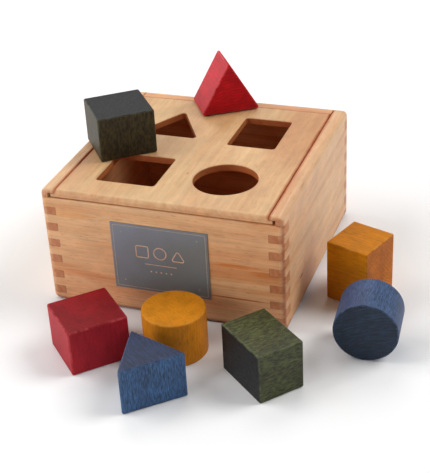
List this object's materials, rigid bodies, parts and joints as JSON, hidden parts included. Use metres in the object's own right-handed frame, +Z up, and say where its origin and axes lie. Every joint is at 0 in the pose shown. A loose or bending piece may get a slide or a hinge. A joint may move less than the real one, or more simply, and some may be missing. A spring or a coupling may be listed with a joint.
{
  "type": "shape sorter",
  "caption": "Wooden toy box with a sliding lid that has shaped holes, and stained wooden blocks that drop through the matching holes.",
  "frame": {"origin": "centre of the box's underside, on the surface that the toy stands on", "axes": "+X to the right along the labelled front, +Y to the back, +Z up"},
  "size_m": [0.2615, 0.3073, 0.1328],
  "materials": {
    "honey_wood": "smooth sanded beech, oiled",
    "slate_label": "satin printed film",
    "red_stain": "red stain with the grain showing",
    "green_stain": "dark green stain with the grain showing",
    "yellow_stain": "golden yellow stain with the grain showing",
    "blue_stain": "denim blue stain with the grain showing"
  },
  "bodies": {
    "box": {"front_panel": "honey_wood", "back_panel": "honey_wood", "left_panel": "honey_wood", "right_panel": "honey_wood", "bottom_panel": "honey_wood", "label_plate": "slate_label"},
    "lid": {"lid": "honey_wood"},
    "red_square": {"red_square_block": "red_stain"},
    "red_triangle": {"red_triangle_block": "red_stain"},
    "green_square": {"green_square_block": "green_stain"},
    "green_oblong": {"green_oblong_block": "green_stain"},
    "yellow_cylinder": {"yellow_cylinder_block": "yellow_stain"},
    "yellow_oblong": {"yellow_oblong_block": "yellow_stain"},
    "blue_triangle": {"blue_triangle_block": "blue_stain"},
    "blue_cylinder": {"blue_cylinder_block": "blue_stain"}
  },
  "joints": [
    {"name": "lid_slide", "type": "slide", "parent": "box", "child": "lid", "axis": [0, -1, 0], "range_m": [0, 0.18]},
    {"name": "green_square_lift", "type": "slide", "parent": "lid", "child": "green_square", "axis": [0, 0, 1], "range_m": [0, 0.06]},
    {"name": "red_triangle_lift", "type": "slide", "parent": "lid", "child": "red_triangle", "axis": [0, 0, 1], "range_m": [0, 0.06]},
    {"name": "red_square_lift", "type": "slide", "parent": "box", "child": "red_square", "axis": [0, 0, 1], "range_m": [0, 0.045]},
    {"name": "green_oblong_lift", "type": "slide", "parent": "box", "child": "green_oblong", "axis": [0, 0, 1], "range_m": [0, 0.045]},
    {"name": "yellow_cylinder_lift", "type": "slide", "parent": "box", "child": "yellow_cylinder", "axis": [0, 0, 1], "range_m": [0, 0.045]},
    {"name": "yellow_oblong_lift", "type": "slide", "parent": "box", "child": "yellow_oblong", "axis": [0, 0, 1], "range_m": [0, 0.045]},
    {"name": "blue_triangle_lift", "type": "slide", "parent": "box", "child": "blue_triangle", "axis": [0, 0, 1], "range_m": [0, 0.045]},
    {"name": "blue_cylinder_lift", "type": "slide", "parent": "box", "child": "blue_cylinder", "axis": [0, 0, 1], "range_m": [0, 0.045]}
  ]
}
